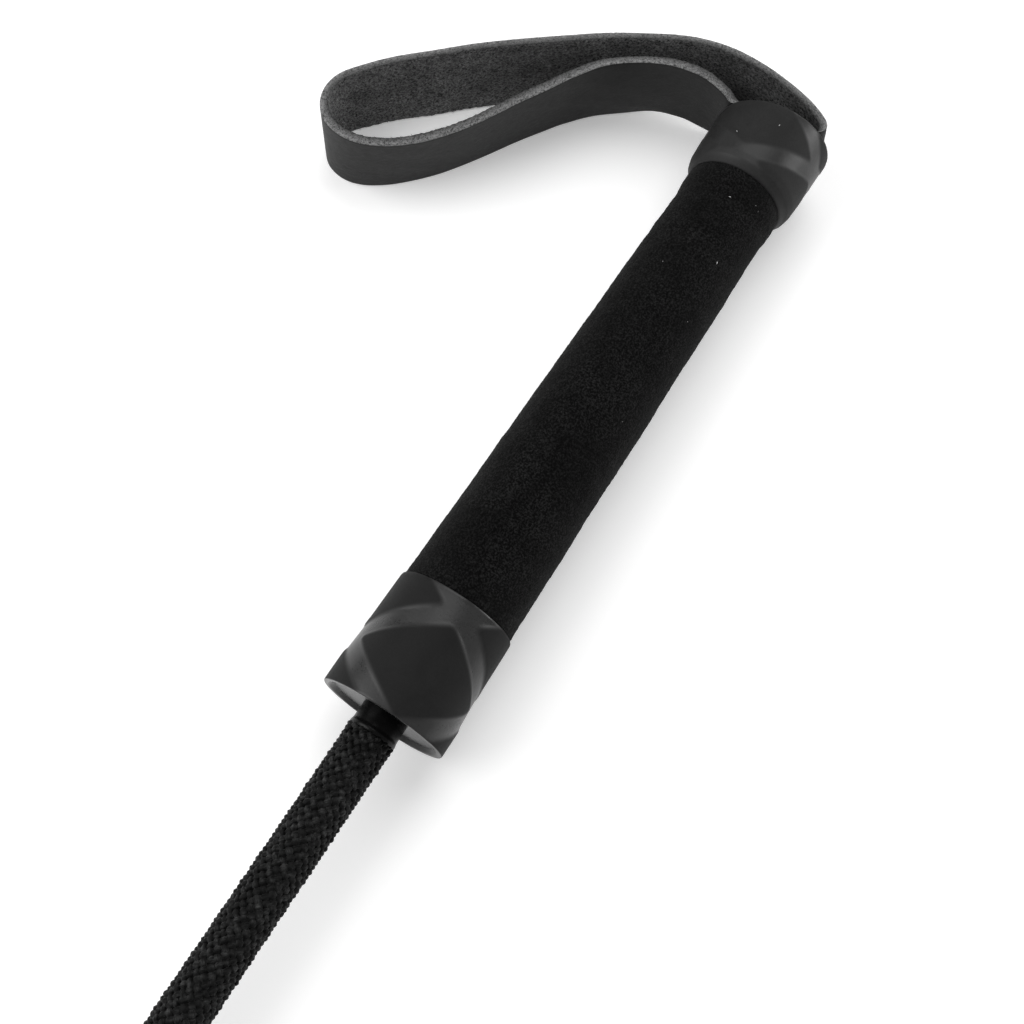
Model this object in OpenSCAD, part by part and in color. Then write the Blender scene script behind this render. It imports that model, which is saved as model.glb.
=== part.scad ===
// Riding crop: braided shaft, suede grip, rubber butt cap and ferrule, leather wrist strap and keeper.
// X runs along the shaft towards the tip, Z is up, and the origin is on the shaft's axis
// where the braid leaves the handle. The crop lies on the plane z = -ferrule_front_r.

/* [Grip] */
// Length of suede that shows between the butt cap and the front ferrule
grip_len = 114.5; // [100:0.5:130]
// Radius of the suede next to the butt cap
grip_rear_r = 11.1; // [11.1:0.1:11.6]
// Radius of the suede next to the front ferrule
grip_front_r = 12.5; // [12.1:0.1:12.7]

/* [Front ferrule] */
// Length of the rubber ferrule
ferrule_len = 26.5; // [23:0.5:32]
// Radius of its rear edge
ferrule_rear_r = 12.9; // [12.8:0.1:13.3]
// Radius of its front edge, on which the crop lies
ferrule_front_r = 13.8; // [13.5:0.1:14.2]
// Length of the smooth neck between the ferrule and the braid
neck_len = 4; // [3:0.5:6]

/* [Butt cap] */
// Length of the rubber cap, on its axis
cap_len = 17.7; // [16:0.1:20]
// Radius of the cap at its mouth
cap_r = 13.4; // [13.2:0.1:13.8]
// Lean of the mouth, towards the side the strap is pulled to
mouth_lean = 7.5; // [6:0.5:8]

/* [Shaft] */
// Length of the braided shaft
shaft_len = 402; // [300:1:520]
// Radius of the braid over its straight length
shaft_r = 5.2; // [5.1:0.1:5.8]
// Length that keeps this radius before the shaft tapers
straight_len = 120; // [60:5:200]
// Radius of the braid at the tip
shaft_tip_r = 3.6; // [3.3:0.1:3.9]

/* [Wrist strap] */
// Width of the leather strap, which stands on its edge
strap_w = 20; // [17:0.5:20]
// Thickness of the leather
strap_t = 2; // [1.8:0.1:2.2]

/* [Keeper] */
// Length of the flap beyond its root
keeper_len = 56; // [45:1:75]
// Thickness of the folded leather
keeper_t = 2.6; // [2.2:0.1:3]

/* [Hidden] */
$fn = 96;

rubber = [0.13, 0.13, 0.14];
suede = [0.04, 0.04, 0.04];
leather = [0.2, 0.2, 0.2];

// stations along X
ferrule_front = -neck_len;
ferrule_rear = ferrule_front - ferrule_len;
cap_front = ferrule_rear - grip_len;
cap_mouth = cap_front - cap_len;
pad_step = ferrule_rear - 1.5;
plug_front = ferrule_front - 0.8;
plug_rear = plug_front - 5.2;
lip_len = 2.4;
tail_end = cap_front - lip_len - 0.6;
core_rear = cap_mouth + 4.7;
tip_end = shaft_len + 16;

// layers of the handle and the shaft
rod_r = 3.6;
rod_tip_r = 1.9;
braid_t = 0.9;
suede_t = 0.9;
core_r = 8.8;
seat_r = 9.8;
glue_t = 0.15;
tail_r = seat_r + strap_t / 2;
// how far the strap's near end sits below the middle of its side, in degrees
near_drop = 22;
cap_bore_r = seat_r + strap_t + glue_t;
// the bore opens out towards the mouth, where the strap turns in
flare_from = cap_mouth + 2.6;
flare_to = cap_mouth + 1.2;
flare_r = cap_bore_r + 0.5;
lip_bore_r = 10.9;
ferrule_bore_r = 11.6;
neck_r = 5;

// wrist strap: the middle of the leather as [x, y, z, lean outwards, curl], in mm and degrees from the cap
// on the far side, round the loop, and back to the cap on the near side; curl 1 fits the round seat
strap_route = [
    [-148.5, 10.8, 0, 0, 1], [-152.5, 10.8, 0, 0, 1], [-156.5, 10.8, 0, 0, 1], [-160.5, 10.8, 0, 0, 1],
    [-164, 10.8, -0.1, 1, 1], [-166.5, 9.1, -0.9, 6, 0.3], [-168.4, 4.4, -1, 8, 0.1],
    [-169.6, -2.5, -0.7, 9, 0], [-170.2, -10.5, -0.1, 11, 0.1], [-169.5, -18.6, 0, 12, 0.1],
    [-167.2, -26.7, -0.8, 12, 0], [-163.3, -34.9, -1.9, 12, 0], [-158.7, -43, -2.5, 9, 0],
    [-153, -51, -3, 7, 0], [-146.8, -59, -3.4, 6, 0], [-140.2, -66.5, -3.6, 6, 0],
    [-133.5, -73, -3.7, 6, 0], [-127, -79.5, -3.7, 5, 0], [-121.5, -84, -3.7, 4, 0],
    [-117.3, -86.8, -3.7, 3, 0], [-113.5, -87.6, -3.7, 2, 0], [-109.8, -86.6, -3.7, 1, 0],
    [-107, -83.8, -3.7, 1, 0], [-106, -79.5, -3.7, 2, 0], [-107, -75, -3.7, 4, 0],
    [-110, -70.2, -3.7, 6, 0], [-114, -66, -3.7, 7, 0], [-118.5, -62.3, -3.7, 7, 0],
    [-123.5, -59, -3.7, 7, 0], [-129.5, -55.7, -3.7, 6, 0], [-136, -52.3, -3.6, 5, 0],
    [-142, -48.8, -3.4, 4, 0], [-148, -45, -3, 2, 0], [-153.2, -40.2, -3, 0, 0.2],
    [-157.5, -34.5, -2.8, 0, 0.3], [-161, -28.8, -1.6, 3, 0.2], [-163.3, -23.5, -1, 4, 0],
    [-164.4, -18.3, -1.9, 5, 0], [-164.5, -13.9, -3.1, 9, 0.1], [-163.7, -11.4, -4.1, 18, 0.5],
    [-162, -10.02, -4.05, 22, 1], [-157.5, -10.02, -4.05, 22, 1],
    [-153, -10.02, -4.05, 22, 1], [-148.5, -10.02, -4.05, 22, 1]];
// steps of the route between which the strap bends at the joint
far_cut = 10.35;
far_cut_loop = 10.66;
near_cut_loop = 34.5;
near_cut = 34.95;
route_end = len(strap_route) - 1;
rings_per_step = 3;
across = 8;

// point of a smooth curve through the route at step u, by Catmull-Rom
function clamped(i) = strap_route[max(0, min(len(strap_route) - 1, i))];
function route_at(u) =
    let (i = floor(u), t = u - i, a = clamped(i - 1), b = clamped(i), c = clamped(i + 1), d = clamped(i + 2))
    0.5 * (2 * b + (c - a) * t + (2 * a - 5 * b + 4 * c - d) * t * t + (3 * b - a - 3 * c + d) * t * t * t);
function level(v) = v / norm(v);
function heading(u) = let (d = route_at(u + 0.05) - route_at(u - 0.05)) level([d[0], d[1], 0]);

// section of the strap at step u, as a closed ring of points, inner face first
function strap_point(u, across_at, depth) =
    let (
        p = route_at(u), h = heading(u), lean = p[3], curl = max(p[4], 0.001) * strap_w / 2 / tail_r * 180 / PI,
        side = [-h[1], h[0], 0],
        inward = side * cos(lean) + [0, 0, sin(lean)],
        upward = [0, 0, cos(lean)] - side * sin(lean),
        bend_r = strap_w / 2 / (curl * PI / 180), a = across_at * curl)
    [p[0], p[1], p[2]] + inward * (bend_r - (bend_r - depth) * cos(a)) + upward * ((bend_r - depth) * sin(a));
function strap_ring(u) = concat(
    [for (k = [0:across]) strap_point(u, 2 * k / across - 1, strap_t / 2)],
    [for (k = [across:-1:0]) strap_point(u, 2 * k / across - 1, -strap_t / 2)]);

module strap_between(u0, u1) {
    steps = ceil((u1 - u0) * rings_per_step);
    size = 2 * (across + 1);
    points = [for (i = [0:steps]) each strap_ring(u0 + (u1 - u0) * i / steps)];
    sides = [for (i = [0:steps - 1], k = [0:size - 1])
        let (a = i * size + k, b = i * size + (k + 1) % size)
        each [[a, b + size, b], [a, a + size, b + size]]];
    caps = [for (k = [0:across - 1], i = [0, steps])
        let (a = i * size + k, b = i * size + k + 1, c = (i + 1) * size - 2 - k, d = (i + 1) * size - 1 - k)
        each (i == 0 ? [[a, b, c], [a, c, d]] : [[a, c, b], [a, d, c]])];
    polyhedron(points = points, faces = concat(sides, caps), convexity = 8);
}

// turns a profile of [x, radius] points about the shaft's axis
module turned(profile) {
    rotate([0, 90, 0])
        rotate_extrude()
            polygon([for (p = profile) [p[1], p[0]]]);
}

module core_rod() {
    color([0.75, 0.75, 0.68])
        turned([[core_rear, 0], [core_rear, rod_r], [straight_len, rod_r], [shaft_len - 6, rod_tip_r],
                [tip_end, rod_tip_r], [tip_end, 0]]);
}

module shaft_filler() {
    color([0.45, 0.42, 0.38])
        turned([[0, rod_r], [0, shaft_r - braid_t], [straight_len, shaft_r - braid_t],
                [shaft_len - 6, shaft_tip_r - braid_t], [shaft_len, shaft_tip_r - braid_t],
                [shaft_len, rod_tip_r], [shaft_len - 6, rod_tip_r], [straight_len, rod_r]]);
}

module shaft_braid() {
    color([0.07, 0.07, 0.07])
        turned([[0, shaft_r - braid_t], [0, shaft_r], [straight_len, shaft_r], [shaft_len - 6, shaft_tip_r],
                [shaft_len, shaft_tip_r], [shaft_len, shaft_tip_r - braid_t],
                [shaft_len - 6, shaft_tip_r - braid_t], [straight_len, shaft_r - braid_t]]);
}

module neck_collar() {
    color([0.08, 0.08, 0.08])
        turned([[plug_rear, rod_r], [plug_rear, neck_r], [-0.4, neck_r], [0, neck_r - 0.4], [0, rod_r]]);
}

module front_plug() {
    color([0.16, 0.16, 0.17])
        turned([[plug_rear, neck_r], [plug_rear, ferrule_bore_r], [plug_front, ferrule_bore_r],
                [plug_front, neck_r]]);
}

module front_ferrule() {
    mid = ferrule_rear + 0.4 * ferrule_len;
    color(rubber)
        turned([[ferrule_rear, ferrule_bore_r], [ferrule_rear, ferrule_rear_r], [mid, ferrule_rear_r + 0.3],
                [ferrule_front - 6, ferrule_front_r], [ferrule_front - 0.4, ferrule_front_r],
                [ferrule_front, ferrule_front_r - 0.4], [ferrule_front, ferrule_bore_r + 0.7],
                [plug_front, ferrule_bore_r]]);
}

module handle_core() {
    color([0.72, 0.55, 0.35])
        turned([[core_rear, rod_r], [core_rear, seat_r - glue_t], [tail_end, seat_r - glue_t], [tail_end, core_r],
                [plug_rear, core_r], [plug_rear, rod_r]]);
}

module grip_pad() {
    color([0.35, 0.35, 0.35])
        turned([[tail_end, core_r], [tail_end, grip_rear_r - 1.1], [cap_front, grip_rear_r - suede_t],
                [pad_step, grip_front_r - suede_t], [pad_step, ferrule_bore_r - suede_t],
                [plug_rear, ferrule_bore_r - suede_t], [plug_rear, core_r]]);
}

module grip_suede() {
    third = grip_len / 3;
    color(suede)
        turned([[tail_end, grip_rear_r - 1.1], [tail_end, lip_bore_r], [cap_front + 0.4, lip_bore_r],
                [cap_front + 0.6, grip_rear_r + 0.1], [cap_front + 2.5, grip_rear_r + 0.3],
                [cap_front + 7, grip_rear_r], [cap_front + third, grip_rear_r + 0.5],
                [ferrule_rear - third, grip_front_r - 0.5], [ferrule_rear, grip_front_r],
                [ferrule_rear, ferrule_bore_r], [plug_rear, ferrule_bore_r],
                [plug_rear, ferrule_bore_r - suede_t], [pad_step, ferrule_bore_r - suede_t],
                [pad_step, grip_front_r - suede_t], [cap_front, grip_rear_r - suede_t]]);
}

// everything behind the leaning mouth of the cap
module behind_mouth() {
    translate([cap_mouth, 0, 0])
        rotate([0, 0, mouth_lean])
            translate([-20, -20, -20])
                cube([20, 40, 40]);
}

module butt_cap() {
    rear = cap_mouth - 2;
    color(rubber)
        difference() {
            turned([[rear, flare_r], [rear, cap_r], [cap_front - 10, cap_r - 0.1], [cap_front - 6, cap_r - 0.3],
                    [cap_front - 3, cap_r - 0.5], [cap_front - 1.4, cap_r - 0.9], [cap_front - 0.4, cap_r - 1.5],
                    [cap_front + 0.4, cap_r - 2.1], [cap_front + 0.4, lip_bore_r],
                    [tail_end, lip_bore_r], [tail_end, cap_bore_r], [flare_from, cap_bore_r],
                    [flare_to, flare_r]]);
            behind_mouth();
        }
}

// room for one end of the strap beside the plug; facing 1 is the far side
module strap_slot(facing, from, to) {
    half = strap_w / 2 / tail_r * 180 / PI + 3;
    middle = facing > 0 ? 90 : near_drop - 90;
    translate([from, 0, 0])
        rotate([0, 90, 0])
            rotate([0, 0, middle - half])
                rotate_extrude(angle = 2 * half)
                    translate([seat_r - 0.6, 0])
                        square([strap_t + 1.4, to - from]);
}

module butt_plug() {
    rear = cap_mouth - 2;
    color([0.1, 0.1, 0.1])
        difference() {
            turned([[rear, 0], [rear, flare_r], [flare_to, flare_r], [flare_from, cap_bore_r],
                    [core_rear, cap_bore_r], [core_rear, 0]]);
            behind_mouth();
            for (facing = [-1, 1]) {
                strap_slot(facing, rear - 1, core_rear + 1);
            }
        }
}

module strap_base() {
    color(leather) {
        strap_between(0, far_cut);
        strap_between(near_cut, route_end);
    }
}

module strap_tacks() {
    color([0.6, 0.6, 0.62])
        for (facing = [-1, 1], x = [tail_end - 9, tail_end - 4]) {
            translate([x, facing * 5.5, 0])
                rotate([-facing * 90, 0, 0])
                    union() {
                        cylinder(r = 0.6, h = cap_bore_r - 5.9);
                        translate([0, 0, cap_bore_r - 5.9])
                            cylinder(r1 = 1.6, r2 = 1.4, h = 0.3);
                    }
        }
}

module strap_loop() {
    color(leather)
        strap_between(far_cut_loop, near_cut_loop);
}

// keeper: whipped to the rod's tip, with a flap that bends at its throat
root_r = 4;
root_end = shaft_len + 20;
throat_half = 5;
flap_start = root_end + 1.5;
flap_end = flap_start + keeper_len;
flap_half = ferrule_front_r;
corner_r = 8;
thread_t = 0.35;

module tip_whipping() {
    rear = shaft_len - 5;
    front = shaft_len + 13;
    color([0.05, 0.05, 0.05])
        turned([[rear, shaft_tip_r], [rear, root_r + 0.2], [rear + 0.6, root_r + 0.6], [front - 0.6, root_r + 0.6],
                [front, root_r + 0.2], [front, root_r], [shaft_len, root_r], [shaft_len, shaft_tip_r]]);
}

module keeper_root() {
    color(leather)
        difference() {
            union() {
                translate([shaft_len, 0, 0])
                    rotate([0, 90, 0])
                        cylinder(r = root_r, h = 14);
                hull() {
                    translate([shaft_len + 14, 0, 0])
                        rotate([0, 90, 0])
                            cylinder(r = root_r, h = 0.5, $fn = 32);
                    translate([root_end - 1, -keeper_t / 2, -throat_half])
                        cube([1, keeper_t, 2 * throat_half]);
                }
            }
            translate([shaft_len - 1, 0, 0])
                rotate([0, 90, 0])
                    cylinder(r = rod_tip_r, h = 17);
        }
}

// outline of the flap in X and Z, taken in by inset all round
function corner(x, z, r, from) = [for (a = [from:-15:from - 90]) [x + r * cos(a), z + r * sin(a)]];
function flap_outline(inset) =
    let (half = flap_half - inset, r = corner_r - inset, end = flap_end - inset)
    concat(
        [[flap_start + inset, -throat_half + inset], [flap_start + inset, throat_half - inset],
         [flap_start + 5, throat_half + 1.5 - inset], [flap_start + 11, half - 0.8], [flap_start + 15, half]],
        corner(end - r, half - r, r, 90),
        corner(end - r, r - half, r, 0),
        [[flap_start + 15, -half], [flap_start + 11, 0.8 - half], [flap_start + 5, inset - throat_half - 1.5]]);

module upright_plate(thick, from_y) {
    translate([0, from_y + thick, 0])
        rotate([90, 0, 0])
            linear_extrude(height = thick)
                children();
}

module keeper_flap() {
    color(leather)
        upright_plate(keeper_t, -keeper_t / 2)
            polygon(flap_outline(0));
}

module keeper_stitching() {
    color([0.3, 0.3, 0.3])
        for (from_y = [keeper_t / 2, -keeper_t / 2 - thread_t]) {
            upright_plate(thread_t, from_y)
                difference() {
                    polygon(flap_outline(2.2));
                    polygon(flap_outline(2.9));
                }
        }
}

core_rod();
shaft_filler();
shaft_braid();
neck_collar();
front_plug();
front_ferrule();
handle_core();
grip_pad();
grip_suede();
butt_cap();
butt_plug();
strap_base();
strap_tacks();
strap_loop();
tip_whipping();
keeper_root();
keeper_flap();
keeper_stitching();
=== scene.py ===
import math
import bmesh
import bpy
import numpy as np
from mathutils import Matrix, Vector


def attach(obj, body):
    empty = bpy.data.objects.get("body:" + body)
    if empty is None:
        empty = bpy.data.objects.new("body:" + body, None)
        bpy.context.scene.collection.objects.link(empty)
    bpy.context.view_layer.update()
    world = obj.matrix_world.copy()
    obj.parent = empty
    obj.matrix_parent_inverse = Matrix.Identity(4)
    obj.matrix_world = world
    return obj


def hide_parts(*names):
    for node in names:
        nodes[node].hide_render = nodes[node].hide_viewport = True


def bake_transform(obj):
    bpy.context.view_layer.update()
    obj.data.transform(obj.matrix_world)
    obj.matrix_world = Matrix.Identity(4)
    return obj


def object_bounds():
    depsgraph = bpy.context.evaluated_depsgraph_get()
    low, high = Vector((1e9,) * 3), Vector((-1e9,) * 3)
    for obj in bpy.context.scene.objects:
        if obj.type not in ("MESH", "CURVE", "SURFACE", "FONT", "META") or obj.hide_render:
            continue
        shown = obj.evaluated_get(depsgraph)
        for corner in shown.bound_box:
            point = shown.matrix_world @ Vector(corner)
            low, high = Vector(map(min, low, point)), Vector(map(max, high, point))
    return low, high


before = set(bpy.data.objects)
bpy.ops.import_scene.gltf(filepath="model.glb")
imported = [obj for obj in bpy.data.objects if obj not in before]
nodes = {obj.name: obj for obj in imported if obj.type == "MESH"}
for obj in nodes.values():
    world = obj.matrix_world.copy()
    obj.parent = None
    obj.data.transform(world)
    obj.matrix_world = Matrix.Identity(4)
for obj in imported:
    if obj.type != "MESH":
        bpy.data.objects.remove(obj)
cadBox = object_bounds()
mm = 0.001
floorZ = cadBox[0].z / mm  # the crop lies on this plane
liftOff = 0.02  # leather stays this far above the floor
print("frame loaded:", len(nodes), "nodes")


# view from above the grip, place in mm and turn in degrees
view = {"place": (32.61, 31.66, 278.2), "turn": (18.1, -3.778, 122.424), "lens": 49.92, "sensor": 36,
        "nearest": 0.01, "farthest": 20}


def setCamera():
    data = bpy.data.cameras.new("camera")
    data.lens, data.sensor_width = view["lens"], view["sensor"]
    data.clip_start, data.clip_end = view["nearest"], view["farthest"]
    camera = bpy.data.objects.new("camera", data)
    camera.location = Vector(view["place"]) * mm
    camera.rotation_euler = [math.radians(a) for a in view["turn"]]
    bpy.context.scene.collection.objects.link(camera)
    bpy.context.scene.camera = camera


# soft round lamps, places in metres
lights = {
    "key": {"place": (0.22, -0.56, 0.5), "aim": (-0.06, -0.01, 0), "size": 0.75, "power": 4.3},
    "top": {"place": (-0.55, -0.12, 0.75), "aim": (-0.12, -0.02, 0), "size": 0.8, "power": 3.4},
    "side": {"place": (-0.62, 0.6, 0.24), "aim": (-0.1, 0, 0.01), "size": 0.35, "power": 2.4},
}
room = {"white": (1, 1, 1, 1), "allRound": 0.4, "paper": (0.94, 0.95), "paperGlow": 0.24, "floorHalf": 3000}


def setLights():
    for name, light in lights.items():
        data = bpy.data.lights.new(name, "AREA")
        data.shape, data.size, data.energy = "DISK", light["size"], light["power"]
        lamp = bpy.data.objects.new(name, data)
        lamp.location = light["place"]
        toward = Vector(light["aim"]) - Vector(light["place"])
        lamp.rotation_euler = toward.to_track_quat("-Z", "Y").to_euler()
        bpy.context.scene.collection.objects.link(lamp)
    world = bpy.data.worlds.new("studio")
    world.use_nodes = True
    backdrop = world.node_tree.nodes["Background"]
    backdrop.inputs["Color"].default_value = room["white"]
    backdrop.inputs["Strength"].default_value = room["allRound"]
    bpy.context.scene.world = world
    bpy.context.scene.view_settings.view_transform = "Standard"


# one shader node, with its sockets linked or set and its settings made
def addNode(tree, kind, inputs=None, **settings):
    node = tree.nodes.new(kind)
    for key, value in settings.items():
        setattr(node, key, value)
    for key, value in (inputs or {}).items():
        if isinstance(value, bpy.types.NodeSocket):
            tree.links.new(value, node.inputs[key])
        else:
            node.inputs[key].default_value = value
    return node


def newFinish(name, **constants):
    finish = bpy.data.materials.new(name)
    finish.use_nodes = True
    shader = finish.node_tree.nodes["Principled BSDF"]
    for key, value in constants.items():
        shader.inputs[key.replace("_", " ")].default_value = value
    return finish, finish.node_tree, shader


# place on the piece in mm: its own coordinates, or the coordinates laid along the leather or the yarn
def whereOn(tree, laid=None):
    if laid:
        return addNode(tree, "ShaderNodeAttribute", attribute_name=laid).outputs["Vector"]
    own = addNode(tree, "ShaderNodeTexCoord").outputs["Object"]
    inMillimetres = addNode(tree, "ShaderNodeVectorMath", {0: own, "Scale": 1000.0}, operation="SCALE")
    return inMillimetres.outputs["Vector"]


def stretched(tree, where, scale):
    return addNode(tree, "ShaderNodeMapping", {"Vector": where, "Scale": scale}).outputs["Vector"]


# noise of a given grain size in mm, from 0 to 1
def mottle(tree, where, size, detail=3.0, rough=0.55, twist=0.0):
    inputs = {"Vector": where, "Scale": 1.0 / size, "Detail": detail, "Roughness": rough,
              "Distortion": twist}
    return addNode(tree, "ShaderNodeTexNoise", inputs).outputs["Fac"]


# distance to the nearest of scattered spots about one size apart, for pores and knots
def cells(tree, where, size):
    return addNode(tree, "ShaderNodeTexVoronoi", {"Vector": where, "Scale": 1.0 / size}).outputs["Distance"]


# value between low and high laid over toLow to toHigh, and held beyond them
def ramp(tree, value, low, high, toLow=0.0, toHigh=1.0):
    inputs = {"Value": value, "From Min": low, "From Max": high, "To Min": toLow, "To Max": toHigh}
    return addNode(tree, "ShaderNodeMapRange", inputs, clamp=True).outputs["Result"]


def combine(tree, how, first, second):
    return addNode(tree, "ShaderNodeMath", {0: first, 1: second}, operation=how).outputs["Value"]


# two colours mixed by a share from 0 to 1; 6, 7 and 2 are the colour sockets of the mix
def mixed(tree, share, first, second):
    inputs = {"Factor": share, 6: first, 7: second}
    return addNode(tree, "ShaderNodeMix", inputs, data_type="RGBA").outputs[2]


def tone(tree, share, dark, light):
    return mixed(tree, share, (*dark, 1), (*light, 1))


def grey(value):
    return (value, value, value)


# layers of relief, each a height from 0 to 1 and its depth in mm
def relief(tree, shader, *layers):
    normal = None
    for height, depth in layers:
        inputs = {"Height": height, "Distance": depth * mm, "Strength": 1.0}
        if normal:
            inputs["Normal"] = normal
        normal = addNode(tree, "ShaderNodeBump", inputs).outputs["Normal"]
    tree.links.new(normal, shader.inputs["Normal"])


# a smooth piece from points in mm; laid holds each point's place along, across and into its material
def fromNumpy(name, points, faces, finishes, faceFinish=None, laid=None):
    mesh = bpy.data.meshes.new(name)
    mesh.from_pydata((np.asarray(points) * mm).tolist(), [], [list(map(int, f)) for f in faces])
    if faceFinish is not None:
        mesh.polygons.foreach_set("material_index", np.asarray(faceFinish, np.int32))
    if laid is not None:
        attribute = mesh.attributes.new("laid", "FLOAT_VECTOR", "POINT")
        attribute.data.foreach_set("vector", np.asarray(laid, np.float32).ravel())
    for finish in finishes:
        mesh.materials.append(finish)
    body = bmesh.new()
    body.from_mesh(mesh)
    bmesh.ops.recalc_face_normals(body, faces=body.faces)
    body.to_mesh(mesh)
    body.free()
    mesh.polygons.foreach_set("use_smooth", [True] * len(mesh.polygons))
    mesh.update()
    piece = bpy.data.objects.new(name, mesh)
    bpy.context.scene.collection.objects.link(piece)
    return piece


# quads between rings of count points each; joined also closes the last ring to the first
def skinFaces(rings, count, joined=False, capEnds=False, first=0):
    index = np.arange(rings * count).reshape(rings, count) + first
    onward = np.roll(index, -1, axis=0) if joined else index[1:]
    here = index if joined else index[:-1]
    a, b = here, np.roll(here, -1, axis=1)
    c, d = np.roll(onward, -1, axis=1), onward
    faces = np.stack([a, b, c, d], -1).reshape(-1, 4).tolist()
    if capEnds:
        faces += [index[0].tolist(), index[-1][::-1].tolist()]
    return faces


# a closed profile of [x, radius] points turned about the shaft; lift changes the radius and says how
# raised each point is, and shift moves x
def turnedPiece(name, profile, around, finishes, lift, shift=None):
    profile = np.array(profile, float)
    angle = np.linspace(0, 2 * math.pi, around, endpoint=False)
    x = np.repeat(profile[:, :1], around, axis=1)
    radius = np.repeat(profile[:, 1:2], around, axis=1)
    angles = np.repeat(angle[None, :], len(profile), axis=0)
    if shift is not None:
        x = shift(x, radius * np.sin(angles))
    change, raised = lift(x, angles, profile)
    radius = radius + change
    rings = np.stack([x, radius * np.sin(angles), radius * np.cos(angles)], -1)
    rings[..., 2] = np.maximum(rings[..., 2], floorZ)
    laid = np.stack([x, angles * radius, raised], -1)
    faces = skinFaces(len(profile), around, joined=True)
    return fromNumpy(name, rings.reshape(-1, 3), faces, finishes, laid=laid.reshape(-1, 3))


def smoothStep(value, low, high):
    t = np.clip((value - low) / (high - low), 0, 1)
    return t * t * (3 - 2 * t)


# slow waves over a surface, from -1 to 1, without any seam round the shaft
def waves(x, angle, seed, length, count=6):
    draw = np.random.RandomState(seed)
    total = np.zeros_like(x)
    for _ in range(count):
        turns = draw.randint(0, 5)
        pitch = length * draw.uniform(0.6, 1.8)
        total += np.sin(2 * math.pi * x / pitch + turns * angle + draw.uniform(0, 6.28)) / count
    return total * 1.6


def roughness(shape, seed):
    return np.random.RandomState(seed).normal(size=shape)


# direction beside a line that lies on a round surface, where away points out of the surface
def besideLine(middle, away):
    along = np.gradient(middle, axis=0)
    along /= np.linalg.norm(along, axis=1)[:, None]
    return np.cross(along, away)


# moulded rubber: matt raised pads and smoother bands sunk between them, with smudges and dust; where the
# band tone is set lighter than the pad tone, the difference is painted sheen
def rubberFinish(name, matte, bandTone, bandRough):
    finish, tree, shader = newFinish(name)
    where = whereOn(tree)
    raised = addNode(tree, "ShaderNodeSeparateXYZ", {0: whereOn(tree, "laid")}).outputs["Z"]
    smudge = mottle(tree, where, 7.0, 4.0, 0.6, 0.4)
    fine = mottle(tree, where, 0.22, 2.0, 0.6)
    dust = mottle(tree, where, 0.6, 4.0, 0.75)
    smudge = combine(tree, "ADD", smudge, ramp(tree, dust, 0.3, 0.7, -0.12, 0.12))
    pad = tone(tree, ramp(tree, smudge, 0.35, 0.7), grey(matte * 0.82), grey(matte * 1.3))
    # band tone: on the ferrule it is paler than the pad tone, a painted sheen on top of the bands' real
    # gloss
    band = tone(tree, ramp(tree, smudge, 0.3, 0.7), grey(bandTone * 0.9), grey(bandTone * 1.15))
    tree.links.new(mixed(tree, raised, band, pad), shader.inputs["Base Color"])
    tree.links.new(ramp(tree, raised, 0, 1, 0.3, 0.15), shader.inputs["Specular IOR Level"])
    worn = ramp(tree, smudge, 0.3, 0.75, -0.05, 0.07)
    uneven = combine(tree, "ADD", ramp(tree, raised, 0, 1, bandRough, 0.68), worn)
    tree.links.new(uneven, shader.inputs["Roughness"])
    texture = combine(tree, "MULTIPLY", fine, ramp(tree, raised, 0, 1, 0.3, 1.0))
    relief(tree, shader, (texture, 0.035), (smudge, 0.05))
    return finish


# black suede whose nap is brushed in patches
def suedeFinish():
    finish, tree, shader = newFinish(
        "brushedSuede", Specular_IOR_Level=0.06, Roughness=0.95, Sheen_Weight=0.03, Sheen_Roughness=0.5)
    where = whereOn(tree)
    patch = mottle(tree, where, 11.0, 3.0, 0.55, 0.8)
    nap = mottle(tree, where, 0.42, 3.0, 0.8)
    lit = combine(tree, "MULTIPLY", ramp(tree, nap, 0.46, 0.62), ramp(tree, patch, 0.36, 0.66, 0.45, 1.0))
    colour = tone(tree, lit, grey(0.0004), grey(0.0175))
    tree.links.new(colour, shader.inputs["Base Color"])
    relief(tree, shader, (nap, 0.16), (mottle(tree, where, 0.2, 2.0, 0.7), 0.08))
    return finish


# twisted yarn with lines along it; knots is the spacing of raised knots, with painted shade darkening the
# hollows between them, or none
def yarnFinish(name, dark, light, laid=None, lineSize=0.16, level=0.12, sheen=0.04, knots=None):
    finish, tree, shader = newFinish(
        name, Specular_IOR_Level=level, Roughness=0.62, Sheen_Weight=sheen, Sheen_Roughness=0.4)
    where = whereOn(tree, laid)
    lines = mottle(tree, stretched(tree, where, (0.12, 1.0, 1.0)), lineSize, 2.0, 0.6)
    uneven = mottle(tree, whereOn(tree), 2.6, 3.0, 0.6)
    share = combine(tree, "MULTIPLY", ramp(tree, lines, 0.3, 0.7), ramp(tree, uneven, 0.3, 0.7, 0.45, 1.0))
    layers = [(lines, 0.05)]
    if knots:
        knob = ramp(tree, cells(tree, whereOn(tree), knots), 0.2, 0.6, 1.0, 0.0)
        # painted shade: the colour falls to 0.12 of itself in the hollows between the knots
        share = combine(tree, "MULTIPLY", share, ramp(tree, knob, 0, 1, 0.12, 1.0))
        layers.append((knob, 0.3))
    tree.links.new(tone(tree, share, grey(dark), grey(light)), shader.inputs["Base Color"])
    relief(tree, shader, *layers)
    return finish


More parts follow.
